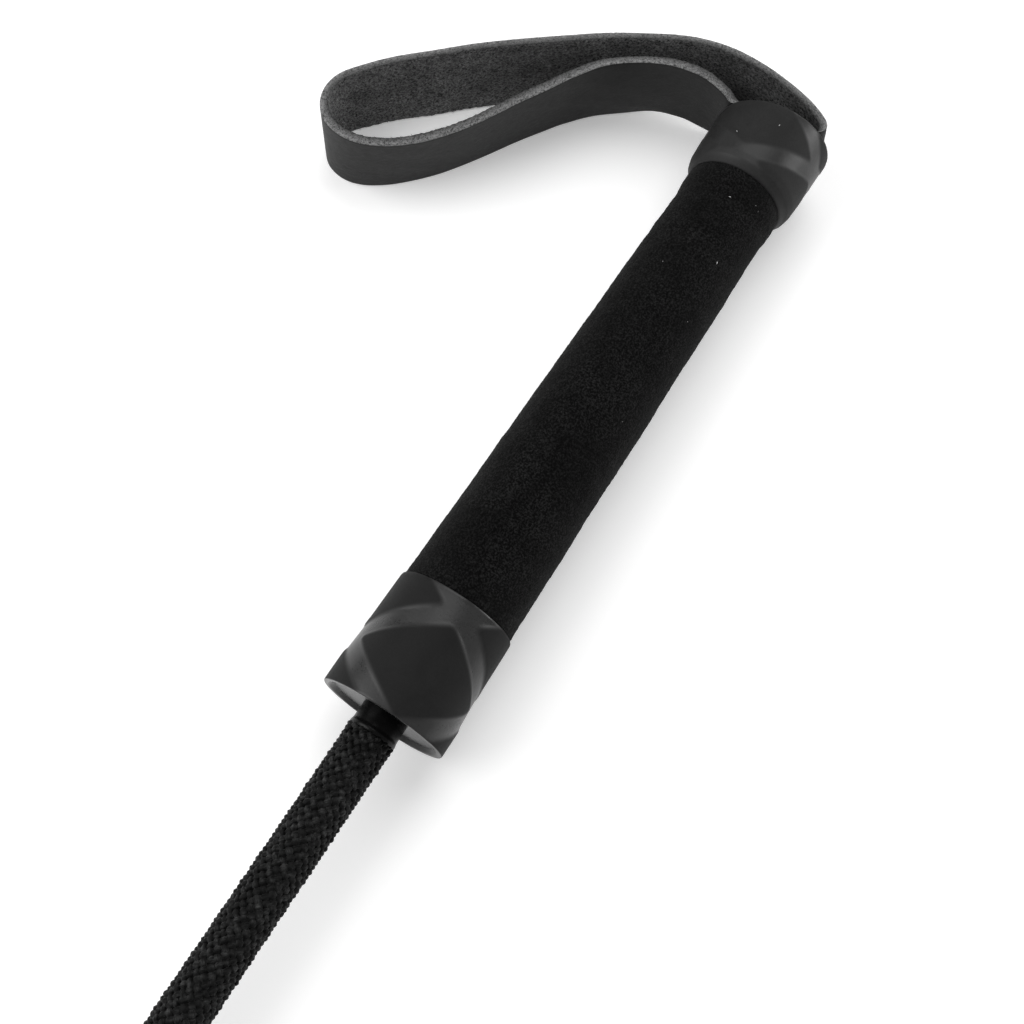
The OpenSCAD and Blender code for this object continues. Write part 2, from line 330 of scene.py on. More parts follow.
# smooth side of leather, with pores and fine creases
def grainFinish(name, dark, light, level, rough):
    finish, tree, shader = newFinish(name, Specular_IOR_Level=level)
    where = whereOn(tree, "laid")
    pores = cells(tree, stretched(tree, where, (1.0, 1.15, 1.0)), 0.42)
    creases = mottle(tree, stretched(tree, where, (0.6, 1.0, 1.0)), 0.9, 4.0, 0.6, 0.6)
    cloud = mottle(tree, where, 9.0, 4.0, 0.6, 0.5)
    colour = tone(tree, ramp(tree, cloud, 0.3, 0.72), grey(dark), grey(light))
    tree.links.new(colour, shader.inputs["Base Color"])
    uneven = combine(tree, "ADD", ramp(tree, creases, 0.3, 0.7, rough - 0.05, rough + 0.07),
                     ramp(tree, cloud, 0.3, 0.7, -0.03, 0.04))
    tree.links.new(uneven, shader.inputs["Roughness"])
    relief(tree, shader, (ramp(tree, pores, 0.0, 0.35), 0.03), (creases, 0.06))
    return finish


# fibrous side of leather; the optional stretch, in mm along the strap, is where its colour rises from half
# to full: painted shade along the first tail near the cap and painted light round the loop
def fleshFinish(name, dark, light, size, paintedLightStretch=None):
    finish, tree, shader = newFinish(
        name, Specular_IOR_Level=0.1, Roughness=0.92, Sheen_Weight=0.05, Sheen_Roughness=0.5)
    where = whereOn(tree, "laid")
    fibre = mottle(tree, stretched(tree, where, (0.8, 1.0, 1.0)), size, 4.0, 0.72, 0.6)
    cloud = mottle(tree, where, 6.0, 3.0, 0.6)
    share = combine(tree, "MULTIPLY", ramp(tree, fibre, 0.38, 0.68), ramp(tree, cloud, 0.3, 0.7, 0.6, 1.0))
    # painted light and shade: the flesh side is darkened to half along the strap's first stretch and
    # brought to full tone round the loop
    if paintedLightStretch:
        along = addNode(tree, "ShaderNodeSeparateXYZ", {0: where}).outputs["X"]
        share = combine(tree, "MULTIPLY", share, ramp(tree, along, *paintedLightStretch, 0.5, 1.0))
    tree.links.new(tone(tree, share, grey(dark), grey(light)), shader.inputs["Base Color"])
    relief(tree, shader, (fibre, 0.22))
    return finish


# cut edge of the strap: pale where the grain side ends, darker and more fibrous towards the flesh side
def cutEdgeFinish():
    finish, tree, shader = newFinish("strapCutEdge", Specular_IOR_Level=0.1, Roughness=0.9)
    where = whereOn(tree, "laid")
    depth = addNode(tree, "ShaderNodeSeparateXYZ", {0: where}).outputs["Z"]
    fibre = mottle(tree, stretched(tree, where, (0.8, 1.0, 1.0)), 0.36, 3.0, 0.85, 0.6)
    ragged = combine(tree, "ADD", depth, ramp(tree, fibre, 0.2, 0.8, -0.7, 0.7))
    shade = ramp(tree, ragged, -0.9, 1.1, 1.0, 0.25)
    share = combine(tree, "MULTIPLY", ramp(tree, fibre, 0.38, 0.62, 0.08, 1.0), shade)
    tree.links.new(tone(tree, share, grey(0.012), grey(0.34)), shader.inputs["Base Color"])
    relief(tree, shader, (fibre, 0.2))
    return finish


# turned wood with its rings drawn out along the handle
def woodFinish():
    finish, tree, shader = newFinish("turnedWood", Roughness=0.7, Specular_IOR_Level=0.3)
    where = whereOn(tree)
    rings = mottle(tree, stretched(tree, where, (0.05, 1.0, 1.0)), 1.4, 4.0, 0.6, 0.8)
    tree.links.new(tone(tree, ramp(tree, rings, 0.3, 0.7), (0.33, 0.2, 0.1), (0.56, 0.39, 0.22)),
                   shader.inputs["Base Color"])
    relief(tree, shader, (rings, 0.08))
    return finish


def plainFinish(name, dark, light, size, rough, depth, level, metal=0.0):
    finish, tree, shader = newFinish(name, Roughness=rough, Specular_IOR_Level=level, Metallic=metal)
    where = whereOn(tree)
    spots = mottle(tree, where, size, 4.0, 0.6, 0.3)
    tree.links.new(tone(tree, ramp(tree, spots, 0.3, 0.7), dark, light), shader.inputs["Base Color"])
    relief(tree, shader, (spots, depth))
    return finish


# gives a finish to a piece that keeps its own shape
def dress(nodeName, finish):
    mesh = nodes[nodeName].data
    mesh.materials.clear()
    mesh.materials.append(finish)


setCamera()
setLights()
print("camera and lights set")


strap = {
    "width": 20.0,
    "thickness": 1.95,
    "seatRadius": 10.8,  # middle of the leather where it lies on the round core
    "ringStep": 0.55,
    "acrossFaces": 26,
    "edgeFaces": 6,
    "grainRound": 0.3,  # how far the outer edge is rubbed round
    "fleshRound": 0.16,
    "edgeFuzz": 0.05,
    "fleshFuzz": 0.05,
    "cornerFuzz": 0.05,
    "grainWave": 0.035,
    "widthWave": 0.004,  # share of the width
    "bendAt": (-162.7, -31.3, -1.9),
    "bendAlong": (0.45, -0.89, 0),
    "bendReach": 12.0,
    # middle of the leather: x, y, z, lean outwards in degrees, curl round the core
    "route": [
        (-148.5, 10.8, 0, 0, 1), (-152.5, 10.8, 0, 0, 1), (-156.5, 10.8, 0, 0, 1),
        (-160.5, 10.8, 0, 0, 1), (-164, 10.8, -0.1, 1, 1), (-166.5, 9.1, -0.9, 6, 0.3),
        (-168.4, 4.4, -1, 8, 0.1), (-169.6, -2.5, -0.7, 9, 0), (-170.2, -10.5, -0.1, 11, 0.1),
        (-169.5, -18.6, 0, 12, 0.1), (-167.2, -26.7, -0.8, 12, 0), (-163.3, -34.9, -1.9, 12, 0),
        (-158.7, -43, -2.5, 9, 0), (-153, -51, -3, 7, 0), (-146.8, -59, -3.4, 6, 0),
        (-140.2, -66.5, -3.6, 6, 0), (-133.5, -73, -3.7, 6, 0), (-127, -79.5, -3.7, 5, 0),
        (-121.5, -84, -3.7, 4, 0), (-117.3, -86.8, -3.7, 3, 0), (-113.5, -87.6, -3.7, 2, 0),
        (-109.8, -86.6, -3.7, 1, 0), (-107, -83.8, -3.7, 1, 0), (-106, -79.5, -3.7, 2, 0),
        (-107, -75, -3.7, 4, 0), (-110, -70.2, -3.7, 6, 0), (-114, -66, -3.7, 7, 0),
        (-118.5, -62.3, -3.7, 7, 0), (-123.5, -59, -3.7, 7, 0), (-129.5, -55.7, -3.7, 6, 0),
        (-136, -52.3, -3.6, 5, 0), (-142, -48.8, -3.4, 4, 0), (-148, -45, -3, 2, 0),
        (-153.2, -40.2, -3, 0, 0.2), (-157.5, -34.5, -2.8, 0, 0.3), (-161, -28.8, -1.6, 3, 0.2),
        (-163.3, -23.5, -1, 4, 0), (-164.4, -18.3, -1.9, 5, 0), (-164.5, -13.9, -3.1, 9, 0.1),
        (-163.7, -11.4, -4.1, 18, 0.5), (-162, -10.02, -4.05, 22, 1), (-157.5, -10.02, -4.05, 22, 1),
        (-153, -10.02, -4.05, 22, 1), (-148.5, -10.02, -4.05, 22, 1),
    ],
}
strapRoute = np.array(strap["route"], float)


# point of the smooth curve through the route at each step u
def routeAt(u):
    last = len(strapRoute) - 1
    whole = np.clip(np.floor(u).astype(int), 0, last)
    t = (u - whole)[:, None]
    a, b, c, d = (strapRoute[np.clip(whole + k, 0, last)] for k in (-1, 0, 1, 2))
    return 0.5 * (2 * b + (c - a) * t + (2 * a - 5 * b + 4 * c - d) * t**2 + (3 * b - a - 3 * c + d) * t**3)


# frame of the leather at each step: middle, direction to the flesh side, direction up the width
def strapFrame(u):
    middle = routeAt(u)
    heading = (routeAt(u + 0.05) - routeAt(u - 0.05))[:, :3] * (1, 1, 0)
    heading /= np.linalg.norm(heading, axis=1)[:, None]
    lean = np.radians(middle[:, 3])[:, None]
    side = np.stack([-heading[:, 1], heading[:, 0], np.zeros(len(u))], -1)
    up = np.array([0, 0, 1.0])
    return middle, heading, side * np.cos(lean) + up * np.sin(lean), up * np.cos(lean) - side * np.sin(lean)


# places at share across (-1 to 1) and depth (towards the flesh side) on the leather, for every step u
def onStrap(u, across, depth):
    middle, _, inward, upward = strapFrame(u)
    curl = np.maximum(middle[:, 4], 0.001) * strap["width"] / 2 / strap["seatRadius"]
    bend = (strap["width"] / 2 / curl)[:, None]
    angle = across * curl[:, None]
    out = bend - (bend - depth) * np.cos(angle)
    high = (bend - depth) * np.sin(angle)
    return middle[:, None, :3] + inward[:, None, :] * out[..., None] + upward[:, None, :] * high[..., None]


# steps along the route spaced evenly by real length
def evenSteps(spacing):
    fine = np.linspace(0, len(strapRoute) - 1.001, 6000)
    way = routeAt(fine)[:, :3]
    length = np.r_[0, np.cumsum(np.linalg.norm(np.diff(way, axis=0), axis=1))]
    marks = np.arange(0, length[-1], spacing)
    return np.interp(marks, length, fine), marks


# one long band: flesh side, upper cut edge, grain side and lower cut edge in each ring of points
def buildStrap():
    u, marks = evenSteps(strap["ringStep"])
    half, thick = strap["width"] / 2, strap["thickness"] / 2
    count, edge = strap["acrossFaces"], strap["edgeFaces"]
    flat = np.linspace(-1, 1, count)
    around = np.linspace(0, math.pi, edge + 2)[1:-1]  # from the flesh corner to the grain corner
    depthEdge = thick * np.cos(around)
    inset = np.where(depthEdge > 0, strap["fleshRound"], strap["grainRound"])
    bulge = 1 - inset / half * (1 - np.sin(around) ** 0.7)
    fleshEnd, grainEnd = 1 - strap["fleshRound"] / half, 1 - strap["grainRound"] / half
    across = np.r_[flat * fleshEnd, bulge, -flat * grainEnd, -bulge[::-1]]
    depth = np.r_[np.full(count, thick), depthEdge, np.full(count, -thick), depthEdge[::-1]]
    size = len(across)
    across, depth = np.tile(across, (len(u), 1)), np.tile(depth, (len(u), 1))
    top = slice(count, count + edge)
    bottom = slice(2 * count + edge, size)
    inner, outer = slice(0, count), slice(count + edge, 2 * count + edge)
    fuzz = roughness(across.shape, 3)
    fromFlesh = np.linspace(1.2, 0.35, edge)  # the edge is rougher towards the flesh side
    across[:, top] += fuzz[:, top] * strap["edgeFuzz"] / half * fromFlesh
    across[:, bottom] += fuzz[:, bottom] * strap["edgeFuzz"] / half * fromFlesh[::-1]
    depth[:, inner] += fuzz[:, inner] * strap["fleshFuzz"]
    corner = roughness((len(u), 2), 5) * strap["cornerFuzz"]
    depth[:, 0] += corner[:, 0]
    depth[:, count - 1] += corner[:, 1]
    slanted = marks[:, None] + across[:, outer] * 4
    depth[:, outer] += strap["grainWave"] * waves(slanted, across[:, outer] * 2, 9, 14)
    width = 1 + strap["widthWave"] * waves(marks[:, None], np.zeros((len(u), 1)), 11, 30)
    points = onStrap(u, across * width, depth)
    points[..., 2] = np.maximum(points[..., 2], floorZ + liftOff)
    faces = skinFaces(len(u), size, capEnds=True)
    # 0 is the grain side, 1 the flesh side and 2 a cut edge
    kind = np.r_[np.full(count - 1, 1), np.full(edge + 1, 2), np.full(count - 1, 0), np.full(edge + 1, 2)]
    faceFinish = np.r_[np.tile(kind, len(u) - 1), 2, 2]
    laid = np.stack([np.repeat(marks[:, None], size, 1), across * half, depth], -1)
    # the flesh side's stretch from 45 to 115 mm is painted shade turning into painted light
    finishes = [grainFinish("strapGrain", 0.0165, 0.026, level=0.12, rough=0.55),
                fleshFinish("strapFlesh", 0.004, 0.34, 0.42, (45.0, 115.0)), cutEdgeFinish()]
    piece = fromNumpy("wristStrap", points.reshape(-1, 3), faces, finishes, faceFinish, laid.reshape(-1, 3))
    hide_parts("strap_base", "strap_loop")
    return piece, finishes


# from is the distance from each end of the strap, in mm, that stays bare
fibres = {"count": 1500, "length": (0.25, 0.8), "thickness": 0.04, "from": 20.0, "seed": 21,
          "taper": ((0.0, 1.0), (0.55, 0.7), (1.0, 0.3)), "sides": 3}


# loose leather fibres that stand off the cut edges, mostly on the flesh side
def buildFibres(finish):
    draw = np.random.RandomState(fibres["seed"])
    steps, marks = evenSteps(0.05)
    keep = (marks > fibres["from"]) & (marks < marks[-1] - fibres["from"])
    pick = np.sort(draw.choice(np.flatnonzero(keep), fibres["count"], replace=False))
    u = steps[pick]
    edge = np.where(draw.rand(len(u)) < 0.6, 1.0, -1.0)
    depth = strap["thickness"] / 2 * (1.02 - 1.5 * draw.rand(len(u)) ** 2.2)
    _, heading, inward, upward = strapFrame(u)
    root = onStrap(u, (edge * 0.992)[:, None], depth[:, None])[:, 0]
    lean = heading * draw.normal(0, 0.8, (len(u), 1)) + inward * draw.normal(0.45, 0.5, (len(u), 1))
    way = upward * (edge * draw.uniform(0.4, 1.1, len(u)))[:, None] + lean
    way /= np.linalg.norm(way, axis=1)[:, None]
    length = draw.uniform(*fibres["length"], len(u)) * draw.uniform(0.5, 1.0, len(u))
    hook = np.cross(way, draw.normal(size=(len(u), 3))) * 0.35
    points, faces = [], []
    for i in range(len(u)):
        across = np.cross(way[i], (0.3, 0.5, 0.8))
        across /= np.linalg.norm(across)
        other = np.cross(way[i], across)
        first = len(points)
        for share, thin in fibres["taper"]:
            at = root[i] + way[i] * length[i] * share + hook[i] * length[i] * share**2
            for k in range(fibres["sides"]):
                turn = 2 * math.pi * k / fibres["sides"]
                spoke = across * math.cos(turn) + other * math.sin(turn)
                points.append(at + spoke * fibres["thickness"] * thin)
        faces += skinFaces(len(fibres["taper"]), fibres["sides"], capEnds=True, first=first)
    points = np.array(points)
    points[:, 2] = np.maximum(points[:, 2], floorZ + liftOff)
    piece = fromNumpy("strapFibres", points, faces, [finish], laid=points)
    return piece


# bakes the piece's placement into its points; the leather is not bent outside the cap
def bendWithLoop(piece):
    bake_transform(piece)


strapPiece, strapFinishes = buildStrap()
fibrePiece = buildFibres(strapFinishes[2])
bendWithLoop(strapPiece)
bendWithLoop(fibrePiece)
print("wrist strap made:", len(strapPiece.data.polygons), "faces")


# raised pads between two sets of bands that wind round the rubber both ways, two pads in each row
def padHeights(x, angle, pads):
    u = (x - pads["at"][0]) / pads["pitch"]
    v = (angle - math.radians(pads["at"][1])) / math.pi
    slope = math.hypot(1 / pads["pitch"], 1 / (math.pi * pads["radius"]))
    first = np.abs((u + v) % 1.0 - 0.5) / slope
    second = np.abs((u - v) % 1.0 - 0.5) / slope
    reach = pads["bandHalf"] + pads["cornerRound"]
    inside = pads["cornerRound"] - np.hypot(np.maximum(reach - first, 0), np.maximum(reach - second, 0))
    return smoothStep(inside, 0, pads["edge"])


ferrule = {
    "rearX": -30.5, "frontX": -4.0, "rearRadius": 13.05, "middleRadius": 13.25, "frontRadius": 13.8,
    "bore": 11.65, "lipBore": 12.5, "faceX": -4.8,
    "pads": {"at": (-14.2, 13), "pitch": 26.1, "radius": 13.4, "bandHalf": 1.5, "cornerRound": 1.8,
             "edge": 1.25},
    "padUp": 0.07, "bandDown": 0.15, "outsideFrom": (12.55, 12.75), "around": 260, "step": 0.3,
}


def buildFerrule(finish):
    f = ferrule
    rows = np.arange(f["rearX"] + 0.5, f["frontX"] - 0.45, f["step"])
    radius = np.interp(rows, [f["rearX"], -20, -10, f["frontX"]],
                       [f["rearRadius"], f["middleRadius"], f["frontRadius"], f["frontRadius"]])
    outer = [[x, r] for x, r in zip(rows, radius)]
    rear, front = f["rearRadius"], f["frontRadius"]
    # rounded rear edge, outside, rounded front edge, lip and bore
    profile = ([[f["rearX"], f["bore"]], [f["rearX"], rear - 0.4], [f["rearX"] + 0.06, rear - 0.18],
                [f["rearX"] + 0.22, rear - 0.04]] + outer
               + [[f["frontX"] - 0.14, front - 0.02], [f["frontX"] - 0.03, front - 0.1],
                  [f["frontX"], front - 0.24], [f["frontX"], f["lipBore"] + 0.35],
                  [f["frontX"] - 0.1, f["lipBore"] + 0.12], [f["frontX"] - 0.35, f["lipBore"]],
                  [f["faceX"], f["bore"] + 0.2], [f["faceX"] - 0.6, f["bore"]],
                  [-12, f["bore"]], [-20, f["bore"]]])

    def lift(x, angle, rowsAt):
        pad = padHeights(x, angle, f["pads"])
        outside = smoothStep(rowsAt[:, 1:2], *f["outsideFrom"])
        fade = smoothStep(x, f["rearX"] - 0.2, f["rearX"] + 0.8)  # less relief next to the suede
        change = (pad * f["padUp"] - (1 - pad) * f["bandDown"]) * outside * (0.4 + 0.6 * fade)
        face = x > f["frontX"] - 0.12  # the front face has no pads and takes the bands' paler tone, a painted reflection of the floor
        return change + 0.03 * waves(x, angle, 31, 12) * outside, np.where(face, 0.0, pad * outside)

    piece = turnedPiece("frontFerrule", profile, f["around"], [finish], lift)
    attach(piece, "handle")
    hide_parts("front_ferrule")


cap = {
    "frontX": -145.0, "mouthX": -162.7, "lean": 7.5, "bore": 11.95, "flare": 12.45, "lipBore": 10.9,
    # outside as [x, radius], from the mouth to the suede
    "outside": [[-162.3, 13.4], [-155, 13.3], [-151, 13.15], [-148, 12.95], [-146.4, 12.55],
                [-145.4, 11.95], [-144.75, 11.62], [-144.55, 11.35]],
    "pads": {"at": (-157.6, -16), "pitch": 20.0, "radius": 13.3, "bandHalf": 1.4, "cornerRound": 1.5,
             "edge": 1.1},
    "padUp": 0.03, "bandDown": 0.08, "outsideFrom": (12.2, 12.9), "around": 260, "step": 0.28,
}


def buildCap(finish):
    c = cap
    rows = np.arange(c["frontX"], c["mouthX"] + 0.35, -c["step"])
    outside = np.array(c["outside"])
    outer = [[x, np.interp(x, outside[:, 0], outside[:, 1])] for x in rows]
    # thin lip over the suede, outside, rounded mouth, flare and bore
    profile = ([[-147.6, c["lipBore"]], [-144.9, c["lipBore"]], [-144.62, c["lipBore"] + 0.12],
                [-144.55, 11.3], [-144.65, 11.5]] + outer
               + [[-162.5, 13.3], [-162.65, 13.12], [-162.7, 12.95], [-162.7, 12.6], [-162.64, c["flare"]],
                  [-161.4, c["flare"]], [-160.1, c["bore"]], [-158, c["bore"]], [-153, c["bore"]],
                  [-148, c["bore"]], [-147.7, c["bore"] - 0.2]])

    # the mouth leans, and the lean fades out towards the suede
    def shift(x, y):
        share = np.clip((c["frontX"] - x) / (c["frontX"] - c["mouthX"]), 0, 1)
        return x - share * math.tan(math.radians(c["lean"])) * y

    def lift(x, angle, rowsAt):
        pad = padHeights(x, angle, c["pads"])
        outside = smoothStep(rowsAt[:, 1:2], *c["outsideFrom"]) * (rowsAt[:, 1:2] > 12.25)
        outside = np.where(rowsAt[:, :1] > -147.9, smoothStep(-rowsAt[:, :1], 145.2, 147.0), outside)
        change = (pad * c["padUp"] - (1 - pad) * c["bandDown"]) * outside
        return change + 0.03 * waves(x, angle, 37, 12) * outside, pad * outside + (1 - outside) * 0.6

    piece = turnedPiece("buttCap", profile, c["around"], [finish], lift, shift)
    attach(piece, "handle")
    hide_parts("butt_cap")


# the ferrule's bands get about 2.5 times the pad tone as painted sheen; the cap's bands keep the pad tone
buildFerrule(rubberFinish("ferruleRubber", 0.0085, 0.0215, 0.3))
buildCap(rubberFinish("capRubber", 0.0155, 0.0155, 0.42))
print("rubber ferrule and cap made")


# the seam runs along the underside, which is 180 degrees from the top
grip = {
    "rearX": -145.0, "frontX": -30.5, "step": 0.55, "around": 150, "seamAngle": 182.0, "seamDepth": 0.28,
    "seamHalf": 0.45, "seamRadius": 12, "napHeight": 0.035,
    # outside as [x, radius], with a low swelling next to the cap
    "outside": [[-145.2, 11.15], [-144.4, 11.25], [-142.5, 11.5], [-140, 11.4], [-137.5, 11.12],
                [-120, 11.35], [-107, 11.6], [-86, 11.85], [-68, 12.05], [-50, 12.3], [-33, 12.5],
                [-30.5, 12.55]],
}


def buildGrip(finish):
    g = grip
    rows = np.arange(g["rearX"], g["frontX"] + 0.01, g["step"])
    knots = np.array(g["outside"])
    outer = [[x, np.interp(x, knots[:, 0], knots[:, 1])] for x in rows]
    # end under the cap's lip, outside, end under the ferrule, and the side glued to the foam
    profile = [[-148.0, 10.2], [-148.0, 10.75], [-145.6, 10.8]] + outer + [
        [-30.1, 12.2], [-30.0, 11.7], [-32.2, 11.55], [-60, 11.3], [-100, 10.8], [-140, 10.3]]

    def lift(x, angle, rowsAt):
        outside = (rowsAt[:, 1:2] > 11.0) & (rowsAt[:, :1] > -145.3) & (rowsAt[:, :1] < -30.3)
        soft = 0.1 * waves(x, angle, 41, 26) + 0.05 * waves(x, angle * 2, 43, 9)
        nap = roughness(x.shape, 45) * g["napHeight"]
        off = (np.degrees(angle) - g["seamAngle"] + 180) % 360 - 180
        beside = np.abs(off) * math.pi / 180 * g["seamRadius"] / g["seamHalf"]
        seam = -g["seamDepth"] * np.exp(-(beside**2)) + 0.1 * np.exp(-((beside - 2.2) ** 2) / 1.5)
        return np.where(outside, soft + nap + seam, 0.0), np.zeros_like(x)

    piece = turnedPiece("suedeGrip", profile, g["around"], [finish], lift)
    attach(piece, "handle")
    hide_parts("grip_suede")


buildGrip(suedeFinish())
print("suede grip made")


braid = {
    "strands": 16,  # in each direction
    "length": 402.0, "radius": 5.25, "tipRadius": 3.62, "straight": 120.0, "taperEnd": 396.0,
    "advance": 5.2,  # mm along the shaft for each radian of turn
    "ringsEach": 3,  # rings of points between crossings
    "thickness": 0.74, "weave": 0.25, "overlap": 0.95, "seed": 51,
    "rootSwell": 0.16, "rootFade": 2.0,
    "spread": 0.26,  # share by which a strand is wider where it lies on top
    "wander": 0.05, "slack": 0.14, "widthSpread": 0.05,
    "section": [(0.0, 0.5), (0.5, -0.08), (0.0, -0.5), (-0.5, -0.08)],  # beside and away, in strand sizes
    "yarnShift": 37, "helixRun": 1.41,
}


# all the strands that wind one way, each passing over and under those of the other way
def buildStrands(direction, name, finish):
    b = braid
    crossing = b["advance"] * math.pi / b["strands"]
    x = np.arange(0, b["length"], crossing / b["ringsEach"])
    outer = np.interp(x, [0, b["straight"], b["taperEnd"]], [b["radius"], b["radius"], b["tipRadius"]])
    outer = outer + b["rootSwell"] * np.exp(-x / b["rootFade"])
    draw = np.random.RandomState(b["seed"] + direction)
    over = direction * np.cos(b["strands"] * x / b["advance"])
    steep = np.arctan(outer / b["advance"])
    width = 2 * math.pi * outer / b["strands"] * np.cos(steep) * b["overlap"] * (1 + b["spread"] * over)
    section = np.array(b["section"])
    points, laid, faces = [], [], []
    for strand in range(b["strands"]):
        loose = np.convolve(draw.normal(size=len(x) + 8), np.ones(9) / 9, "valid")
        slack = np.convolve(draw.normal(size=len(x) + 4), np.ones(5) / 5, "valid")
        angle = 2 * math.pi * strand / b["strands"] + direction * x / b["advance"] + b["wander"] * loose
        radius = outer - b["thickness"] / 2 - b["weave"] + b["weave"] * over + b["slack"] * slack
        away = np.stack([0 * x, np.sin(angle), np.cos(angle)], -1)
        middle = away * radius[:, None]
        middle[:, 0] = x
        beside = besideLine(middle, away)
        fat = (width * (1 + b["widthSpread"] * draw.normal()))[:, None]
        rings = np.stack([middle + beside * fat * s + away * b["thickness"] * t for s, t in section], 1)
        first = strand * len(x) * len(section)
        points.append(rings.reshape(-1, 3))
        run = np.repeat((x * b["helixRun"] + strand * b["yarnShift"])[:, None], len(section), 1)
        laid.append(np.stack([run, np.tile(section[:, 0] * 1.4, (len(x), 1)), 0 * run], -1).reshape(-1, 3))
        faces += skinFaces(len(x), len(section), capEnds=True, first=first)
    piece = fromNumpy(name, np.concatenate(points), faces, [finish], laid=np.concatenate(laid))
    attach(piece, "handle")
    return piece


braidYarn = yarnFinish("braidYarn", 0.0006, 0.052, "laid", knots=1.5)
rightStrands = buildStrands(1, "braidStrandsRight", braidYarn)
leftStrands = buildStrands(-1, "braidStrandsLeft", braidYarn)
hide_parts("shaft_braid")
print("braid made:", len(rightStrands.data.polygons) + len(leftStrands.data.polygons), "faces")


# smooth neck with a small bead where the braid comes out
collar = {"around": 96, "boreBelow": 4.5, "wave": 0.02,
          "profile": [[-10, 3.7], [-10, 4.95], [-3.6, 4.97], [-1.6, 5.0], [-1.2, 5.06], [-0.85, 5.17],
                      [-0.45, 5.2], [-0.1, 5.12], [0.05, 4.95], [0.05, 3.7]]}


def buildCollar(finish):
    def lift(x, angle, rowsAt):
        outside = rowsAt[:, 1:2] > collar["boreBelow"]
        return collar["wave"] * waves(x, angle, 61, 5) * outside, 0 * x

    piece = turnedPiece("neckCollar", collar["profile"], collar["around"], [finish], lift)
    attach(piece, "handle")
    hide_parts("neck_collar")


hardRubber = plainFinish("hardRubber", grey(0.0015), grey(0.0035), 2.5, 0.26, 0.02, 0.14)
buildCollar(hardRubber)

# thread wound over the end of the braid and the keeper's root; steps is points in each turn
whipping = {"fromX": 397.3, "toX": 414.7, "pitch": 0.5, "thread": 0.3, "steps": 22, "sides": 6,
            "wander": 0.03, "woundRadius": 4.3,
            "radii": [[397, 3.85], [398.2, 4.12], [401.4, 4.2], [402.6, 4.34], [413.8, 4.34], [415, 4.2]]}


def buildWhipping(finish):
    w = whipping
    radii = np.array(w["radii"])
    turns = (w["toX"] - w["fromX"]) / w["pitch"]
    turn = np.linspace(0, 2 * math.pi * turns, int(turns * w["steps"]))
    x = w["fromX"] + w["pitch"] * turn / (2 * math.pi)
    radius = np.interp(x, radii[:, 0], radii[:, 1])
    radius = radius + w["wander"] * roughness(len(x), 71).cumsum() / 60
    away = np.stack([0 * x, np.sin(turn), np.cos(turn)], -1)
    middle = away * radius[:, None]
    middle[:, 0] = x
    beside = besideLine(middle, away)
    sides = w["sides"]
    spokes = [2 * math.pi * k / sides for k in range(sides)]
    rings = [middle + (beside * math.cos(s) + away * math.sin(s)) * w["thread"] for s in spokes]
    rings = np.stack(rings, 1)
    run = np.repeat((turn * w["woundRadius"])[:, None], sides, 1)
    laid = np.stack([run, np.tile(np.array(spokes) * w["thread"], (len(x), 1)), 0 * run], -1)
    piece = fromNumpy("tipWhipping", rings.reshape(-1, 3), skinFaces(len(x), sides, capEnds=True), [finish],
                      laid=laid.reshape(-1, 3))
    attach(piece, "handle")
    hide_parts("tip_whipping")


waxedThread = yarnFinish("waxedThread", 0.004, 0.02, "laid", 0.12, 0.35, 0.02)
buildWhipping(waxedThread)
print("collar and whipping made")


keeper = {
    "rootX": 402.0, "throatX": 421.0, "flapX": 423.5, "endX": 479.5, "rootRadius": 4.0, "throatHalf": 5.0,
    "half": 13.75, "corner": 8.0, "thickness": 2.5, "edgeRound": 0.55, "foldGroove": 0.22, "seamIn": 2.6,
    "stitchPitch": 3.3, "stitchLength": 2.5, "stitchThick": 0.34, "bend": (417.5, 428.0), "step": 0.6,
    "flattened": (414.5, 421.5),  # where the round root turns flat
    "edgeFrom": 419, "seamFrom": 427, "seamDip": 0.16, "puff": 0.06, "uneven": 0.03, "reach": 13.8,
    "flatFaces": 22, "edgeFaces": 7,
}


# half the flap's width: it widens from the throat and is round at the corners of its end
def flapHalf(x):
    k = keeper
    half = np.interp(x, [k["flapX"], k["flapX"] + 5, k["flapX"] + 11, k["flapX"] + 15],
                     [k["throatHalf"], k["throatHalf"] + 1.5, k["half"] - 0.8, k["half"]])
    into = np.clip((x - (k["endX"] - k["corner"])) / k["corner"], 0, 1)
    return half - k["corner"] * (1 - np.sqrt(1 - into**2))


